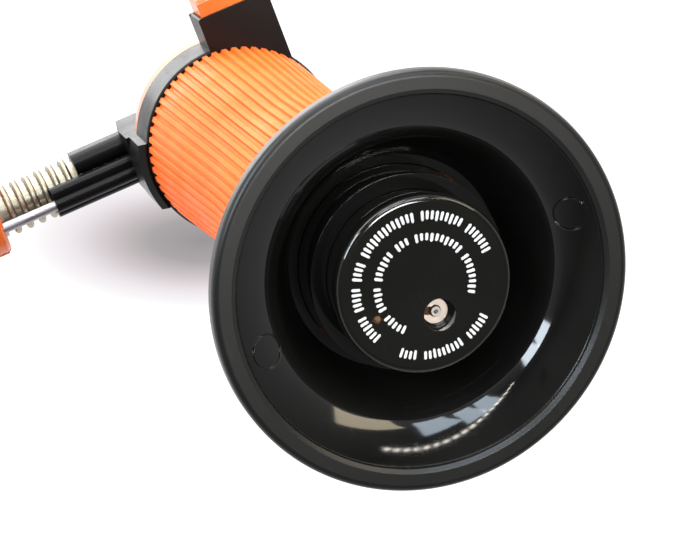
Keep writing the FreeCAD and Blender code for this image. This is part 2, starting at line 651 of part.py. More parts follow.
def burner_bracket():
    """Black mount: saddle on the collar, upright lug with a barrel boss, one long and one short bar."""
    body = lug().fuse(saddle())
    body = body.fuse(cyl_x(BOSS_R, LUG_X0, BOSS_X1))
    root_x = LUG_X1 - BAR_ROOT
    floor_z = LONG_BAR_Z0 + BAR_FLOOR
    long_bar = box(root_x, LONG_BAR_X1, LONG_BAR_Y0, BAR_SPLIT_Y, floor_z, BAR_TOP_Z)
    edge = [e for e in long_bar.Edges if is_lengthwise(e, LONG_BAR_Y0, floor_z)]
    body = body.fuse(long_bar.makeFillet(BAR_EDGE, edge))
    body = body.fuse(cyl_x(BAR_RIDGE_R, root_x, LONG_BAR_X1, BAR_RIDGE_Y, LONG_BAR_Z0 + BAR_RIDGE_R))
    body = body.fuse(cyl_x(ROD_R + ROD_WALL, root_x, LONG_BAR_X1, ROD_Y, ROD_Z))
    short_top = box(root_x, SHORT_BAR_X1, BAR_SPLIT_Y, SHORT_BAR_Y + SHORT_BAR_R, SHORT_BAR_Z, BAR_TOP_Z)
    short_bar = cyl_x(SHORT_BAR_R, root_x, SHORT_BAR_X1, SHORT_BAR_Y, SHORT_BAR_Z).fuse(short_top)
    web = box(root_x, SHORT_BAR_X1 - BAR_ROOT, BAR_SPLIT_Y - 0.5, SHORT_BAR_Y, SHORT_BAR_Z - 1.0, BAR_TOP_Z)
    body = body.fuse(short_bar).fuse(web)
    body = body.cut(cyl_x(CRADLE_R, BOSS_X1, LONG_BAR_X1 + 1))
    body = body.cut(cyl_x(FIN_ROOT_R, LUG_X0 - 1, LUG_X1 + 1))
    return body.cut(cyl_x(ROD_R, LUG_X0 - 1, LONG_BAR_X1 + 1, ROD_Y, ROD_Z))


def lug():
    """Upright block in front of the collar, its front face leaning back near the top."""
    outline = ((LUG_X0, COLLAR_TOP_Z), (LUG_X1, COLLAR_TOP_Z), (LUG_X1, LUG_SLOPE_Z),
               (LUG_SLOPE_X, LUG_TOP_Z), (LUG_X0, LUG_TOP_Z))
    corners = [FreeCAD.Vector(x, LUG_Y0, z) for x, z in outline]
    face = Part.Face(Part.makePolygon(corners + [corners[0]]))
    return face.extrude(FreeCAD.Vector(0, LUG_Y1 - LUG_Y0, 0))


def saddle():
    """Curved foot of the mount that hugs the outside of the collar, with a bevelled lower edge."""
    edge_r = SADDLE_R - SADDLE_EDGE
    top_z = COLLAR_TOP_Z + 1.5
    bevel_z = GRIP_TOP_Z + SADDLE_EDGE
    profile = chain_rz([(COLLAR_OUT_R, GRIP_TOP_Z), (edge_r, GRIP_TOP_Z), (SADDLE_R, bevel_z),
                        (SADDLE_R, top_z), (COLLAR_OUT_R, top_z), (COLLAR_OUT_R, GRIP_TOP_Z)])
    return turned_z(profile).common(box(0, FOOT_R, SADDLE_Y0, LUG_Y1, GRIP_TOP_Z - 1, top_z + 1))


def is_lengthwise(edge, y, z):
    """True for the edge that runs along X at the given side and height."""
    middle = edge.CenterOfMass
    return abs(middle.y - y) < 0.01 and abs(middle.z - z) < 0.01


def burner_barrel():
    """Ridged metal barrel: plain tail in the mount, a row of round-crested fins and a front spigot."""
    core = [(BARREL_X0, BARREL_BORE_R), (BARREL_X0, FIN_ROOT_R - 0.02), (BARREL_X1, FIN_ROOT_R - 0.02),
            (BARREL_X1, BARREL_BORE_R)]
    body = turned_x(core)
    spigot_x0 = RING_X0 - 1.0
    crest = 0.35 * FIN_WIDTH
    for index in range(FIN_COUNT):
        x0 = FIN_START_X + index * FIN_PITCH
        x1 = x0 + FIN_WIDTH
        if x1 > spigot_x0:
            continue
        fin = [(x0, FIN_ROOT_R - 0.5), (x0, FIN_R - crest), (x0 + 0.45 * crest, FIN_R - 0.35 * crest),
               (x0 + crest, FIN_R), (x1 - crest, FIN_R), (x1 - 0.45 * crest, FIN_R - 0.35 * crest),
               (x1, FIN_R - crest), (x1, FIN_ROOT_R - 0.5)]
        body = body.fuse(turned_x(fin))
    spigot = [(spigot_x0, FIN_ROOT_R - 0.5), (spigot_x0, NECK_IN_R - 0.02), (BARREL_X1, NECK_IN_R - 0.02),
              (BARREL_X1, FIN_ROOT_R - 0.5)]
    return body.fuse(turned_x(spigot)).removeSplitter()


def electrode_tube():
    return cyl_x(ROD_R, ROD_X0, ROD_X1, ROD_Y, ROD_Z).cut(cyl_x(ROD_BORE_R, ROD_X0, ROD_X1, ROD_Y, ROD_Z))


def electrode_insulator():
    end_x = ROD_X1 + CERAMIC_LENGTH
    body = cyl_x(CERAMIC_R, ROD_X1, end_x, ROD_Y, ROD_Z)
    return body.cut(cyl_x(CERAMIC_BORE_R, ROD_X1, end_x, ROD_Y, ROD_Z))


def spark_electrode():
    """Thin wire from inside the tube, out of the ceramic and up through the flame tube wall."""
    points = [(ROD_X0 + 1, ROD_Y, ROD_Z), (SPARK_X - 1, ROD_Y, ROD_Z), (SPARK_X, ROD_Y, ROD_Z + 0.8),
              (SPARK_X, ROD_Y, ROD_Z + 4.3)]
    return pipe(points, SPARK_R)


def nozzle_collar():
    """Orange ring round the front of the barrel that holds the flame tube and the electrode."""
    edge_r = RING_R - RING_CHAMFER
    profile = [(RING_X0, NECK_TUBE_R), (RING_X0, edge_r), (RING_X0 + RING_CHAMFER, RING_R),
               (RING_X1 - RING_CHAMFER, RING_R), (RING_X1, edge_r), (RING_X1, NECK_TUBE_R)]
    body = turned_x(profile)
    for angle in (90, 210, 330):
        y = RING_R * math.cos(math.radians(angle + 180))
        z = BURNER_Z + RING_R * math.sin(math.radians(angle))
        body = body.cut(cyl_x(RING_NOTCH_R, RING_X0 - 1, RING_X1 + 1, y, z))
    body = body.cut(cyl_x(ROD_R, RING_X0 - 1, ROD_X1, ROD_Y, ROD_Z))
    return body.cut(cyl_x(CERAMIC_R, ROD_X1, RING_X1 + 1, ROD_Y, ROD_Z))


def flame_tube():
    """Steel flame tube: neck in the ring, wider front with air holes, open mouth with a rolled edge."""
    flare_x = NECK_X1 + 1.0
    roll_r = FLAME_OUT_R + MOUTH_ROLL
    profile = [(FLAME_X0, NECK_IN_R), (FLAME_X0, NECK_TUBE_R), (NECK_X1, NECK_TUBE_R),
               (flare_x, FLAME_OUT_R), (FLAME_X1 - 2.2, FLAME_OUT_R), (FLAME_X1 - 1.6, roll_r),
               (FLAME_X1, roll_r), (FLAME_X1, MOUTH_R), (MOUTH_X0, MOUTH_R), (MOUTH_X0, FLAME_IN_R),
               (flare_x, FLAME_IN_R), (NECK_X1, NECK_IN_R)]
    body = turned_x(profile)
    body = body.cut(cyl_z(1.0, BURNER_Z - FLAME_OUT_R - 1, BURNER_Z - 3, SPARK_X, ROD_Y))
    for index in range(AIR_HOLE_COUNT):
        angle = 2 * math.pi * (index + 0.5) / AIR_HOLE_COUNT
        direction = FreeCAD.Vector(0, math.cos(angle), math.sin(angle))
        hole = Part.makeCylinder(AIR_HOLE_R, 10, FreeCAD.Vector(AIR_HOLE_X, 0, BURNER_Z), direction)
        body = body.cut(hole)
    return body


def flame_holder():
    """Brass disc with one middle hole and a ring of small ones."""
    body = cyl_x(NECK_IN_R - 0.02, HOLDER_X0, HOLDER_X1).cut(cyl_x(HOLDER_MIDDLE_R, HOLDER_X0, HOLDER_X1))
    for index in range(HOLDER_HOLE_COUNT):
        angle = 2 * math.pi * index / HOLDER_HOLE_COUNT
        y = HOLDER_RING_R * math.cos(angle)
        z = BURNER_Z + HOLDER_RING_R * math.sin(angle)
        body = body.cut(cyl_x(HOLDER_HOLE_R, HOLDER_X0, HOLDER_X1, y, z))
    return body


def ignition_lead():
    """Insulated wire from the back of the igniter to the electrode tube."""
    start = (PIEZO_X, PIEZO_Y0 - LEAD_R / 2, PIEZO_Z)
    points = [start, (PIEZO_X, PIEZO_Y0 - 5, PIEZO_Z + 2), (PIEZO_X + 5, -8.0, PIEZO_Z + 6),
              (6.0, -8.5, PIEZO_Z + 12), (11.5, -4.0, ROD_Z - 1), (LUG_X0 - 1.5, ROD_Y, ROD_Z),
              (ROD_X0, ROD_Y, ROD_Z)]
    return pipe(points, LEAD_R)


NODES = (stand_base, tank_cap, cap_seal, filler_plate, filler_valve_body, filler_valve_stem,
         filler_valve_seal, filler_valve_spring, tank_skirt, tank_shell, tank_top_plug, plug_seal, dip_tube,
         grip_sleeve, collar_housing, igniter_cover, piezo_igniter, ignition_button, ignition_lead,
         head_shell_left, head_shell_right, head_screws, valve_body, valve_needle, needle_seal, gas_knob,
         jet_tube, gas_jet, burner_bracket, burner_barrel, electrode_tube, electrode_insulator,
         spark_electrode, nozzle_collar, flame_tube, flame_holder)

os.makedirs("parts", exist_ok=True)
for make in NODES:
    shape = make()
    shape.exportStep("parts/%s.step" % make.__name__)
    print(make.__name__, shape.isValid(), len(shape.Solids), round(shape.Volume, 1))
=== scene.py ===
import bpy
import math
from mathutils import Matrix, Vector


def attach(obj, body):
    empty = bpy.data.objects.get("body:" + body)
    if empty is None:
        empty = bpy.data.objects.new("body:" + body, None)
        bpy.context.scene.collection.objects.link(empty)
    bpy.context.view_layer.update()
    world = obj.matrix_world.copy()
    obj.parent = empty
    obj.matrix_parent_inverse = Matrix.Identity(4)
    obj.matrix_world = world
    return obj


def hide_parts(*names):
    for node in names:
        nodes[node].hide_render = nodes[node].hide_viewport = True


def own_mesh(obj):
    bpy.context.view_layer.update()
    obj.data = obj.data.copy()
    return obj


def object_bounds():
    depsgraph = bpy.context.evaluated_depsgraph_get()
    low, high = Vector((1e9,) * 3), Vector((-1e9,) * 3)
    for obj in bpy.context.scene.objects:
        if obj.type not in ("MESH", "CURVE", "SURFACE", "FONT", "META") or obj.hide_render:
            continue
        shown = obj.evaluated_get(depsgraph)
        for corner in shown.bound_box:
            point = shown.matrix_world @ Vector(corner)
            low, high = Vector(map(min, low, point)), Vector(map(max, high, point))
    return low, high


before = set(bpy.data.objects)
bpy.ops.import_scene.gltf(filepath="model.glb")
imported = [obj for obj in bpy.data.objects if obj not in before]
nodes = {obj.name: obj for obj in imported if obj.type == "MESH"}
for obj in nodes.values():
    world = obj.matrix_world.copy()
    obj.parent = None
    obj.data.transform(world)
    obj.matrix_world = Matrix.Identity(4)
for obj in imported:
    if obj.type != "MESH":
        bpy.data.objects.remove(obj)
cad_low, cad_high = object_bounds()
scene = bpy.context.scene
scene.view_settings.view_transform = "Standard"
scene.view_settings.look = "None"

MM = 0.001


# ---------- materials ----------
# Pattern scales: roughly how many features fit in a metre, so a larger number is a finer pattern.
DRIFT_SCALE = 60.0
DUST_SCALE = 900.0
DUST_PATCH_SCALE = 110.0
PLASTIC_SMEAR_SCALE = 45.0
SCRATCH_SCALE = 900.0
STAIN_EDGE_SCALE = 1100.0
TARNISH_SCALE = 160.0
BRUSH_SCALE = 2600.0
METAL_SMEAR_SCALE = 90.0
PIT_SCALE = 1400.0
BLOOM_SCALE = 140.0
RUBBER_GLOSS_SCALE = 600.0
RUBBER_GRAIN_SCALE = 2500.0
FLOOR_TONE_SCALE = 6.0

# Most values of a noise lie between these two.
NOISE_LOW = 0.3
NOISE_HIGH = 0.7

DUST_SIZE = 0.035
DUST_LIFT_ON_BLACK = 0.06
DUST_LIFT_ON_COLOUR = 0.16
BLACK_LIMIT = 0.05
SCRATCH_GLOSS_LOSS = 0.16
COAT_ROUGHNESS = 0.08
BRUSH_DEPTH_MM = 0.0015
PIT_DEPTH_MM = 0.003
PIT_SIZE = 0.12
RUBBER_GRAIN_DEPTH_MM = 0.01
EVEN = (1.0, 1.0, 1.0)
ALONG_BURNER = (0.1, 1.0, 1.0)


class Shader:
    """One node material: object coordinates, noises and ranges that feed a principled shader."""

    def __init__(self, name):
        self.material = bpy.data.materials.new(name)
        self.material.use_nodes = True
        self.tree = self.material.node_tree
        self.tree.nodes.clear()
        self.output = self.add("ShaderNodeOutputMaterial")
        self.principled = self.add("ShaderNodeBsdfPrincipled")
        self.link(self.principled.outputs[0], self.output.inputs["Surface"])
        self.coords = self.add("ShaderNodeTexCoord").outputs["Object"]

    def add(self, kind, **settings):
        node = self.tree.nodes.new(kind)
        for key, value in settings.items():
            setattr(node, key, value)
        return node

    def link(self, a, b):
        self.tree.links.new(a, b)

    def set(self, **values):
        for key, value in values.items():
            self.principled.inputs[key.replace("_", " ")].default_value = value

    def stretched(self, scale):
        mapping = self.add("ShaderNodeMapping")
        mapping.inputs["Scale"].default_value = scale
        self.link(self.coords, mapping.inputs["Vector"])
        return mapping.outputs[0]

    def noise(self, scale, detail=4.0, roughness=0.55, vector=None):
        node = self.add("ShaderNodeTexNoise")
        node.inputs["Scale"].default_value = scale
        node.inputs["Detail"].default_value = detail
        node.inputs["Roughness"].default_value = roughness
        self.link(vector if vector is not None else self.coords, node.inputs["Vector"])
        return node.outputs["Fac"]

    def spots(self, scale):
        node = self.add("ShaderNodeTexVoronoi")
        node.inputs["Scale"].default_value = scale
        self.link(self.coords, node.inputs["Vector"])
        return node.outputs["Distance"]

    def range(self, value, a, b, low=0.0, high=1.0):
        node = self.add("ShaderNodeMapRange")
        node.inputs["From Min"].default_value = a
        node.inputs["From Max"].default_value = b
        node.inputs["To Min"].default_value = low
        node.inputs["To Max"].default_value = high
        self.link(value, node.inputs["Value"])
        return node.outputs[0]

    def spread(self, noise, low=0.0, high=1.0):
        """A noise with the middle of its values mapped onto low to high."""
        return self.range(noise, NOISE_LOW, NOISE_HIGH, low, high)

    def math(self, operation, a, b):
        node = self.add("ShaderNodeMath", operation=operation)
        for socket, value in zip(node.inputs, (a, b)):
            if isinstance(value, (int, float)):
                socket.default_value = value
            else:
                self.link(value, socket)
        return node.outputs[0]

    def mix(self, factor, a, b):
        node = self.add("ShaderNodeMix", data_type="RGBA")
        self.link(factor, node.inputs["Factor"])
        for socket, value in ((node.inputs[6], a), (node.inputs[7], b)):
            if isinstance(value, tuple):
                socket.default_value = (*value, 1.0)
            else:
                self.link(value, socket)
        return node.outputs[2]

    def bump(self, height, distance, strength=1.0, normal=None):
        node = self.add("ShaderNodeBump")
        node.inputs["Distance"].default_value = distance
        node.inputs["Strength"].default_value = strength
        self.link(height, node.inputs["Height"])
        if normal is not None:
            self.link(normal, node.inputs["Normal"])
        return node.outputs[0]

    def soft_edges(self, radius):
        node = self.add("ShaderNodeBevel", samples=4)
        node.inputs["Radius"].default_value = radius
        return node.outputs[0]


def plastic(name, colour, dark, rough, grain_mm=0.6, grain_depth_mm=0.004, scratches=0.5, coat=0.0,
            edge_mm=0.25):
    """Moulded plastic: slight colour drift, uneven gloss, moulded grain, fine scratches and dust."""
    s = Shader(name)
    drift = s.range(s.noise(DRIFT_SCALE, 3.0), 0.35, 0.65)
    base = s.mix(drift, dark, colour)
    dust = s.range(s.spots(DUST_SCALE), 0.0, DUST_SIZE, 1.0, 0.0)
    patchy = s.range(s.noise(DUST_PATCH_SCALE, 5.0), 0.5, 0.75)
    dust = s.math("MULTIPLY", dust, patchy)
    lift = DUST_LIFT_ON_BLACK if max(colour) < BLACK_LIMIT else DUST_LIFT_ON_COLOUR
    pale = tuple(min(1.0, c * 0.6 + lift) for c in colour)
    s.link(s.mix(dust, base, pale), s.principled.inputs["Base Color"])
    smear = s.spread(s.noise(PLASTIC_SMEAR_SCALE, 6.0, 0.6), rough * 0.75, rough * 1.35)
    scratch_field = s.noise(SCRATCH_SCALE, 2.0, 0.5, s.stretched((1.0, 0.12, 0.6)))
    scratch = s.range(scratch_field, 0.62, 0.7, 0.0, SCRATCH_GLOSS_LOSS * scratches)
    s.link(s.math("ADD", smear, scratch), s.principled.inputs["Roughness"])
    grain = s.noise(1000.0 / grain_mm, 2.0)
    height = s.bump(grain, grain_depth_mm * MM, 1.0, s.soft_edges(edge_mm * MM))
    s.link(height, s.principled.inputs["Normal"])
    s.set(Coat_Weight=coat, Coat_Roughness=COAT_ROUGHNESS)
    return s


def stain(shader, centre, radius, colour):
    """One small ragged mark on a surface, such as the scar where a moulding gate was cut off."""
    base = shader.principled.inputs["Base Color"].links[0].from_socket
    reach = shader.add("ShaderNodeVectorMath", operation="DISTANCE")
    shader.link(shader.coords, reach.inputs[0])
    reach.inputs[1].default_value = centre
    edge = shader.spread(shader.noise(STAIN_EDGE_SCALE), 0.0, radius * 0.8)
    ragged = shader.math("ADD", reach.outputs["Value"], edge)
    near = shader.range(ragged, radius * 0.7, radius * 1.15, 1.0, 0.0)
    shader.link(shader.mix(near, base, colour), shader.principled.inputs["Base Color"])


def dull_beyond(shader, start, end, added_roughness, coat):
    """Less gloss from one radius round the tank axis outwards, for the flat lip of the foot."""
    flat = shader.add("ShaderNodeVectorMath", operation="MULTIPLY")
    shader.link(shader.coords, flat.inputs[0])
    flat.inputs[1].default_value = (1.0, 1.0, 0.0)
    radius = shader.add("ShaderNodeVectorMath", operation="LENGTH")
    shader.link(flat.outputs[0], radius.inputs[0])
    outside = shader.range(radius.outputs["Value"], start, end)
    inputs = shader.principled.inputs
    smooth = inputs["Roughness"].links[0].from_socket
    added = shader.math("MULTIPLY", outside, added_roughness)
    shader.link(shader.math("ADD", smooth, added), inputs["Roughness"])
    shader.link(shader.range(outside, 0.0, 1.0, coat, 0.0), inputs["Coat Weight"])


def metal(name, colour, shade, rough, brushed=EVEN, tarnish=0.4, edge_mm=0.15):
    """Metal with brushing along one axis, tarnish blotches and small pits."""
    s = Shader(name)
    blotch = s.range(s.noise(TARNISH_SCALE, 6.0, 0.65), 0.42, 0.72, 0.0, tarnish)
    s.link(s.mix(blotch, colour, shade), s.principled.inputs["Base Color"])
    lines = s.noise(BRUSH_SCALE, 3.0, 0.6, s.stretched(brushed))
    smear = s.spread(s.noise(METAL_SMEAR_SCALE, 4.0), rough * 0.8, rough * 1.3)
    s.link(s.math("ADD", smear, s.spread(lines, -0.05, 0.08)), s.principled.inputs["Roughness"])
    pits = s.range(s.spots(PIT_SCALE), 0.0, PIT_SIZE)
    brushing = s.bump(lines, BRUSH_DEPTH_MM * MM, 0.8, s.soft_edges(edge_mm * MM))
    s.link(s.bump(pits, PIT_DEPTH_MM * MM, 0.5, brushing), s.principled.inputs["Normal"])
    s.set(Metallic=1.0)
    return s


def rubber(name, colour):
    """Dull rubber with a pale bloom and a fine grain."""
    s = Shader(name)
    bloom = s.range(s.noise(BLOOM_SCALE, 5.0), 0.4, 0.7)
    s.link(s.mix(bloom, colour, tuple(c + 0.03 for c in colour)), s.principled.inputs["Base Color"])
    s.link(s.spread(s.noise(RUBBER_GLOSS_SCALE), 0.55, 0.8), s.principled.inputs["Roughness"])
    grain = s.bump(s.noise(RUBBER_GRAIN_SCALE), RUBBER_GRAIN_DEPTH_MM * MM)
    s.link(grain, s.principled.inputs["Normal"])
    return s


LIP_START = 36.6 * MM
LIP_FULL = 37.6 * MM
LIP_ADDED_ROUGHNESS = 0.30
BLACK_COAT = 0.6
GATE_MARK_PLACE = (0.0110, -0.0023, 0.0)
GATE_MARK_RADIUS = 0.0013
GATE_MARK_COLOUR = (0.20, 0.10, 0.04)

GLOSS_BLACK = plastic("gloss_black", (0.0068, 0.0067, 0.006), (0.0048, 0.0047, 0.0043), 0.06,
                      grain_mm=1.4, grain_depth_mm=0.0010, scratches=0.35, coat=BLACK_COAT)
dull_beyond(GLOSS_BLACK, LIP_START, LIP_FULL, LIP_ADDED_ROUGHNESS, BLACK_COAT)
CAP_BLACK = plastic("cap_black", (0.0074, 0.0072, 0.0058), (0.0052, 0.0050, 0.0040), 0.07,
                    grain_mm=1.2, grain_depth_mm=0.0010, coat=BLACK_COAT)
stain(CAP_BLACK, GATE_MARK_PLACE, GATE_MARK_RADIUS, GATE_MARK_COLOUR)
SATIN_BLACK = plastic("satin_black", (0.0058, 0.0052, 0.0048), (0.004, 0.0036, 0.0034), 0.36,
                      grain_mm=0.5, grain_depth_mm=0.005, scratches=0.6, coat=0.1)
SATIN_BLACK.set(Specular_IOR_Level=0.15)
ORANGE_GRIP = plastic("orange_grip", (0.98, 0.2, 0.04), (0.93, 0.165, 0.028), 0.5,
                      grain_mm=0.35, grain_depth_mm=0.008, scratches=0.4)
ORANGE_GRIP.set(Specular_IOR_Level=0.1)
ORANGE_GLOSS = plastic("orange_gloss", (0.95, 0.2, 0.02), (0.88, 0.15, 0.014), 0.22,
                       grain_mm=0.8, grain_depth_mm=0.003, coat=0.3)
GREY_TANK = plastic("grey_tank", (0.25, 0.25, 0.26), (0.2, 0.2, 0.21), 0.35)
NATURAL = plastic("natural_tube", (0.7, 0.68, 0.62), (0.62, 0.6, 0.55), 0.3)
RED_LEAD = plastic("red_lead", (0.45, 0.015, 0.012), (0.36, 0.01, 0.01), 0.4)
CERAMIC = plastic("ceramic", (0.82, 0.79, 0.72), (0.74, 0.7, 0.62), 0.25,
                  grain_mm=0.3, grain_depth_mm=0.003, scratches=0.2)
BRASS = metal("brass", (0.84, 0.56, 0.25), (0.45, 0.24, 0.1), 0.24)
PALE_PLATE = metal("pale_plate", (0.93, 0.80, 0.70), (0.72, 0.55, 0.42), 0.34, tarnish=0.3, edge_mm=0.03)
VALVE_STEEL = metal("valve_steel", (0.78, 0.76, 0.72), (0.5, 0.46, 0.4), 0.3, tarnish=0.3, edge_mm=0.03)
# Brass for the filler valve body, darkened far below real brass: painted shade, so its bore reads dark.
BRASS_PAINTED_SHADE = metal("brass_painted_shade", (0.10, 0.055, 0.03), (0.05, 0.025, 0.015), 0.4)
NICKEL = metal("nickel_brass", (0.40, 0.36, 0.275), (0.26, 0.22, 0.15), 0.36, (0.15, 1.0, 1.0))
STEEL = metal("steel", (0.62, 0.62, 0.63), (0.4, 0.38, 0.36), 0.26, ALONG_BURNER)
ROD_STEEL = metal("rod_steel", (0.46, 0.44, 0.46), (0.34, 0.32, 0.34), 0.44, ALONG_BURNER)
HOT_STEEL = metal("heated_steel", (0.62, 0.58, 0.54), (0.32, 0.2, 0.14), 0.3, ALONG_BURNER, tarnish=0.75)
RUBBER = rubber("black_rubber", (0.012, 0.012, 0.012))

FINISH = {
    "stand_base": GLOSS_BLACK, "tank_cap": CAP_BLACK, "tank_skirt": GLOSS_BLACK, "cap_seal": RUBBER,
    "filler_plate": PALE_PLATE, "filler_valve_body": BRASS_PAINTED_SHADE, "filler_valve_stem": VALVE_STEEL,
    "filler_valve_seal": RUBBER, "filler_valve_spring": STEEL, "tank_shell": GREY_TANK,
    "tank_top_plug": GREY_TANK, "plug_seal": RUBBER, "dip_tube": NATURAL, "grip_sleeve": ORANGE_GRIP,
    "collar_housing": SATIN_BLACK, "igniter_cover": SATIN_BLACK, "piezo_igniter": SATIN_BLACK,
    "ignition_button": ORANGE_GLOSS, "ignition_lead": RED_LEAD, "head_shell_left": ORANGE_GLOSS,
    "head_shell_right": ORANGE_GLOSS, "head_screws": STEEL, "valve_body": BRASS, "valve_needle": STEEL,
    "needle_seal": RUBBER, "gas_knob": SATIN_BLACK, "jet_tube": BRASS, "gas_jet": BRASS,
    "burner_bracket": SATIN_BLACK, "burner_barrel": NICKEL, "electrode_tube": ROD_STEEL,
    "electrode_insulator": CERAMIC, "spark_electrode": STEEL, "nozzle_collar": ORANGE_GLOSS,
    "flame_tube": HOT_STEEL, "flame_holder": BRASS,
}
for name, shader in FINISH.items():
    for slot in nodes[name].material_slots:
        slot.link = "OBJECT"
        slot.material = shader.material


# ---------- generic marks on the cap ----------
PRINT_WHITE = plastic("print_white", (0.86, 0.86, 0.85), (0.74, 0.74, 0.73), 0.45,
                      grain_mm=0.3, grain_depth_mm=0.002, scratches=0.3)
PRINT_THICKNESS = 0.02 * MM
LONG_TICK_EVERY = 3
LONG_TICK_EXTRA = 0.25 * MM
TICK_HALF_WIDTH = 0.30
TICK_CORNER_IN = 0.12
TICK_CORNER_SIDE = 0.3

# Start and end in degrees, inner and outer radius in mm, ticks in each group, gap between groups in degrees.
TICK_ROWS = (
    (-131, -48, 13.2, 14.9, (6, 9, 4), 5.0),
    (-27, 176, 13.0, 14.8, (6, 5, 4, 13, 9, 7), 4.5),
    (-46, 215, 8.9, 10.4, (5, 5, 6, 3, 10, 8), 6.0),
)


def tick_row(start_deg, end_deg, r_in, r_out, groups, gap_deg):
    """Short radial ticks in groups along an arc, like the scale of a dial."""
    span = (end_deg - start_deg - gap_deg * (len(groups) - 1)) / sum(groups)
    faces = []
    angle = start_deg
    for group in groups:
        for index in range(group):
            middle = angle + span * (index + 0.5)
            extra = 0.0 if index % LONG_TICK_EVERY else LONG_TICK_EXTRA
            half = TICK_HALF_WIDTH * span
            faces.append((middle - half, middle + half, r_in - extra, r_out))
        angle += span * group + gap_deg
    return faces


def thin_marks(name, faces, z, thickness, shader):
    """Thin raised patches with cut corners, lying on a flat face that looks down."""
    mesh = bpy.data.meshes.new(name)
    points = []
    polygons = []
    for a0, a1, r0, r1 in faces:
        inset = TICK_CORNER_IN * (r1 - r0)
        side = (a1 - a0) * TICK_CORNER_SIDE
        outline = ((a0, r0 + inset), (a0, r1 - inset), (a0 + side, r1), (a1 - side, r1),
                   (a1, r1 - inset), (a1, r0 + inset), (a1 - side, r0), (a0 + side, r0))
        first = len(points)
        for level in (z, z - thickness):
            for angle, radius in outline:
                turn = math.radians(angle)
                points.append((radius * math.cos(turn), radius * math.sin(turn), level))
        count = len(outline)
        polygons.append(tuple(first + count + k for k in range(count)))
        polygons.append(tuple(first + count - 1 - k for k in range(count)))
        for k in range(count):
            n = (k + 1) % count
            polygons.append((first + k, first + n, first + count + n, first + count + k))
    mesh.from_pydata(points, [], polygons)
    mesh.materials.append(shader.material)
    thing = bpy.data.objects.new(name, mesh)
    scene.collection.objects.link(thing)
    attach(thing, "torch")


ticks = []
for start, end, inner, outer, groups, gap in TICK_ROWS:
    ticks += tick_row(start, end, inner * MM, outer * MM, groups, gap)
thin_marks("cap_print", ticks, 0.0, PRINT_THICKNESS, PRINT_WHITE)


# ---------- filler spring as a piece of its own ------------------------
def soft_spring():
    """The CAD spring copied into one piece of its own, in steel, with the CAD spring hidden."""
    mesh = nodes["filler_valve_spring"].data.copy()
    mesh.materials.clear()
    mesh.materials.append(STEEL.material)
    thing = bpy.data.objects.new("filler_spring_coil", mesh)
    scene.collection.objects.link(thing)
    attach(thing, "torch")
    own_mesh(thing)
    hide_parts("filler_valve_spring")


soft_spring()


# ---------- camera, looking up at the foot from below ----------
CAMERA_PLACE = Vector((0.08832, 0.1587, -0.425))
CAMERA_LENS_MM = 123.4
CAMERA_SENSOR_MM = 36.0
CLIP_NEAR = 0.01
CLIP_FAR = 20.0

camera = bpy.data.objects.new("camera", bpy.data.cameras.new("camera"))
scene.collection.objects.link(camera)
scene.camera = camera
camera.data.lens = CAMERA_LENS_MM
camera.data.sensor_width = CAMERA_SENSOR_MM
camera.data.clip_start = CLIP_NEAR
camera.data.clip_end = CLIP_FAR
right = Vector((-0.89852, -0.33868, -0.2792))
down = Vector((0.40638, -0.88227, -0.23759))
forward = Vector((-0.16586, -0.32694, 0.93038))
turn = Matrix((right, -down, -forward)).transposed()
camera.matrix_world = Matrix.Translation(CAMERA_PLACE) @ turn.to_4x4()


# ---------- stage ----------
FLOOR_GAP = 0.0003
FLOOR_HALF = 3.0


def floor_material():
    """Pale paper, seen only from the side that the object stands on."""
    s = Shader("pale_floor")
    tone = s.spread(s.noise(FLOOR_TONE_SCALE, 3.0))
    s.link(s.mix(tone, (0.84, 0.84, 0.85), (0.88, 0.88, 0.885)), s.principled.inputs["Base Color"])
    s.set(Roughness=0.8)
    clear = s.add("ShaderNodeBsdfTransparent")
    chooser = s.add("ShaderNodeMixShader")
    s.link(s.add("ShaderNodeNewGeometry").outputs["Backfacing"], chooser.inputs[0])
    s.link(s.principled.outputs[0], chooser.inputs[1])
    s.link(clear.outputs[0], chooser.inputs[2])
    s.link(chooser.outputs[0], s.output.inputs["Surface"])
    return s.material


def plane(name, centre, u, v, half, material):
    mesh = bpy.data.meshes.new(name)
    corners = [centre + u * a * half + v * b * half for a, b in ((-1, -1), (1, -1), (1, 1), (-1, 1))]
    mesh.from_pydata([c[:] for c in corners], [], [(0, 1, 2, 3)])
    mesh.materials.append(material)
    thing = bpy.data.objects.new(name, mesh)
    scene.collection.objects.link(thing)
    return thing


floor_centre = Vector((0, 0, cad_low.z - FLOOR_GAP))
floor = plane("floor", floor_centre, Vector((1, 0, 0)), Vector((0, 1, 0)), FLOOR_HALF, floor_material())
for ray in ("visible_diffuse", "visible_glossy", "visible_transmission", "visible_shadow"):
    setattr(floor, ray, False)


# ---------- light ----------
WORLD_STRENGTH = 1.3
# Height of a direction, 0 straight down and 1 straight up, and how bright the room is there.
ROOM_BOTTOM = (0.08, 0.08, 0.073, 1)
ROOM_TONES = ((0.05, 0.08), (0.09, 0.012), (0.18, 0.14), (0.28, 0.25), (0.38, 0.32))
WHITE_FROM = 0.50
ROOM_BLUE = 1.02
# A soft oval shadow on the backdrop: its middle, how far it reaches, and its colour from the middle outwards.
SHADOW_DIRECTION = (-0.1163, -0.2953, 0.9483)
SHADOW_REACH = ((right, 0.079), (down, 0.031))
SHADOW_MIDDLE = (0.255, 0.24, 0.245, 1)
SHADOW_TONES = (
    (0.29, (0.32, 0.30, 0.305, 1)),
    (0.49, (0.48, 0.44, 0.45, 1)),
    (0.69, (0.66, 0.62, 0.65, 1)),
    (0.88, (0.77, 0.755, 0.76, 1)),
)


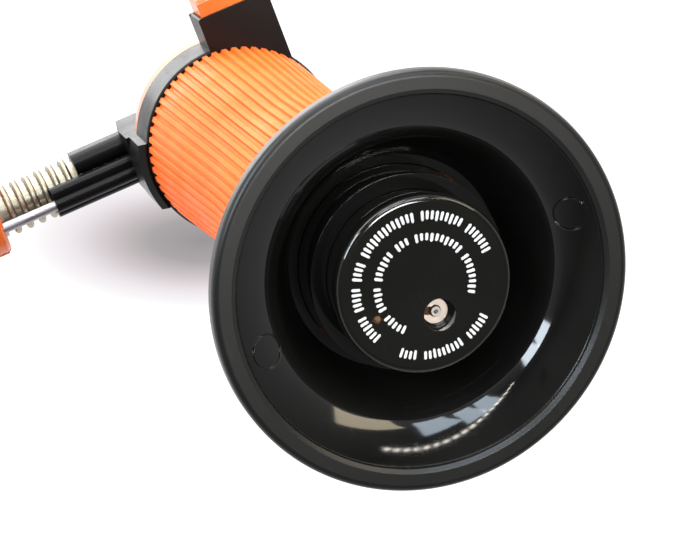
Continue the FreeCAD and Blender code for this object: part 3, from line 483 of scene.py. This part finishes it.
def world_light():
    """White studio above and around, a dim room below it, and a soft shadow on the backdrop."""
    world = bpy.data.worlds.new("studio")
    scene.world = world
    world.use_nodes = True
    tree = world.node_tree
    tree.nodes.clear()

    def add(kind, **settings):
        node = tree.nodes.new(kind)
        for key, value in settings.items():
            setattr(node, key, value)
        return node

    output = add("ShaderNodeOutputWorld")
    background = add("ShaderNodeBackground")
    coords = add("ShaderNodeTexCoord").outputs["Generated"]
    unit = add("ShaderNodeVectorMath", operation="NORMALIZE")
    tree.links.new(coords, unit.inputs[0])
    split = add("ShaderNodeSeparateXYZ")
    tree.links.new(unit.outputs[0], split.inputs[0])
    shift = add("ShaderNodeMapRange")
    shift.inputs["From Min"].default_value = -1.0
    shift.inputs["From Max"].default_value = 1.0
    tree.links.new(split.outputs["Z"], shift.inputs["Value"])
    ramp = add("ShaderNodeValToRGB")
    stops = ramp.color_ramp.elements
    stops[0].position = 0.0
    stops[0].color = ROOM_BOTTOM
    stops[1].position = WHITE_FROM
    stops[1].color = (1.0, 1.0, 1.0, 1)
    for position, tone in ROOM_TONES:
        stop = stops.new(position)
        stop.color = (tone, tone, tone * ROOM_BLUE, 1)
    tree.links.new(shift.outputs[0], ramp.inputs[0])
    offset = add("ShaderNodeVectorMath", operation="SUBTRACT")
    offset.inputs[1].default_value = SHADOW_DIRECTION
    tree.links.new(unit.outputs[0], offset.inputs[0])
    oval = add("ShaderNodeCombineXYZ")
    for side, (axis, reach) in enumerate(SHADOW_REACH):
        along = add("ShaderNodeVectorMath", operation="DOT_PRODUCT")
        along.inputs[1].default_value = axis / reach
        tree.links.new(offset.outputs[0], along.inputs[0])
        tree.links.new(along.outputs["Value"], oval.inputs[side])
    away = add("ShaderNodeVectorMath", operation="LENGTH")
    tree.links.new(oval.outputs[0], away.inputs[0])
    shade = add("ShaderNodeValToRGB")
    shade.color_ramp.elements[0].position = 0.0
    shade.color_ramp.elements[0].color = SHADOW_MIDDLE
    shade.color_ramp.elements[1].position = 1.0
    shade.color_ramp.elements[1].color = (1, 1, 1, 1)
    for position, colour in SHADOW_TONES:
        stop = shade.color_ramp.elements.new(position)
        stop.color = colour
    tree.links.new(away.outputs["Value"], shade.inputs[0])
    tint = add("ShaderNodeMix", data_type="RGBA", blend_type="MULTIPLY")
    tint.inputs["Factor"].default_value = 1.0
    tree.links.new(ramp.outputs[0], tint.inputs[6])
    tree.links.new(shade.outputs[0], tint.inputs[7])
    tree.links.new(tint.outputs[2], background.inputs["Color"])
    background.inputs["Strength"].default_value = WORLD_STRENGTH
    tree.links.new(background.outputs[0], output.inputs[0])


def softbox(name, place, target, width, height, power, colour=(1, 1, 1)):
    """A rectangular area light at one place, turned to its target."""
    light = bpy.data.lights.new(name, "AREA")
    light.shape = "RECTANGLE"
    light.size = width
    light.size_y = height
    light.energy = power
    light.color = colour
    thing = bpy.data.objects.new(name, light)
    scene.collection.objects.link(thing)
    thing.location = place
    thing.rotation_mode = "QUATERNION"
    thing.rotation_quaternion = (target - place).to_track_quat("-Z", "Y")


world_light()
FOOT_CENTRE = Vector((0, 0, 0))
HEAD_CENTRE = Vector((0.01, 0, 0.15))
PANEL_DISTANCE = 1.1
TOP_DISTANCE = 1.3
WINDOW_BAR = 0.014


def direction(azimuth, elevation):
    """Unit vector from the foot towards one azimuth and elevation in degrees."""
    turn_z = math.radians(azimuth)
    lift = math.radians(elevation)
    return Vector((math.cos(turn_z) * math.cos(lift), math.sin(turn_z) * math.cos(lift), math.sin(lift)))


def panel(name, azimuth, elevation, width, height, power, colour, distance=PANEL_DISTANCE):
    """A soft panel far out at one azimuth and elevation in degrees, turned to the foot."""
    softbox(name, direction(azimuth, elevation) * distance, FOOT_CENTRE, width, height, power, colour)


def window(name, azimuth, elevation, width, height, power, colour):
    """A window of two panes side by side with a dark bar between them."""
    pane = (width - WINDOW_BAR) / 2
    ring = PANEL_DISTANCE * math.cos(math.radians(elevation))
    step = math.degrees(math.atan2((pane + WINDOW_BAR) / 2, ring))
    for index, side in enumerate((-1, 1)):
        panel(f"{name}_{index}", azimuth + side * step, elevation, pane, height, power / 2, colour)


def beads(name, azimuth, elevation, length, count, width, height, power, colour):
    """A straight row of small bright panels, like a far row of lamps."""
    middle = direction(azimuth, elevation) * PANEL_DISTANCE
    along = Vector((0, 0, 1)).cross(middle).normalized()
    for index in range(count):
        place = middle + along * length * ((index + 0.5) / count - 0.5)
        softbox(f"{name}_{index}", place, FOOT_CENTRE, width, height, power / count, colour)


WHITE = (1.0, 1.0, 1.0)
NEAR_WHITE = (1.0, 0.99, 0.97)
SOFT_WHITE = (1.0, 0.98, 0.95)
PALE_BLUE = (0.80, 0.90, 1.0)
GREY_BLUE = (0.74, 0.87, 1.0)
WALL_TAN = (1.0, 0.87, 0.62)
LAMP_WHITE = (1.0, 0.95, 0.85)
softbox("sky_window", Vector((-0.15, 0.80, 0.36)), HEAD_CENTRE, 0.7, 0.6, 6.0, NEAR_WHITE)
softbox("grip_fill", Vector((0.10, 0.85, -0.22)), HEAD_CENTRE, 0.9, 0.3, 4.0, NEAR_WHITE)
panel("top_window", 85.0, 64.0, 0.8, 0.8, 6.5, WHITE, TOP_DISTANCE)
softbox("side_fill", Vector((-0.8, 0.35, 0.25)), HEAD_CENTRE, 0.5, 0.6, 3.0)
panel("front_fill", 170.0, -80.0, 0.26, 0.26, 5.5, SOFT_WHITE)
window("window_a", 47.0, -37.0, 0.42, 0.42, 7.0, PALE_BLUE)
window("window_c", 100.0, -46.0, 0.32, 0.46, 2.8, GREY_BLUE)
panel("window_b", 124.5, -42.0, 0.28, 0.42, 2.2, GREY_BLUE)
panel("warm_wall", 157.0, -32.0, 0.50, 0.36, 2.6, WALL_TAN)
beads("thin_strip", 116.0, -60.0, 1.0, 18, 0.034, 0.022, 0.8, LAMP_WHITE)
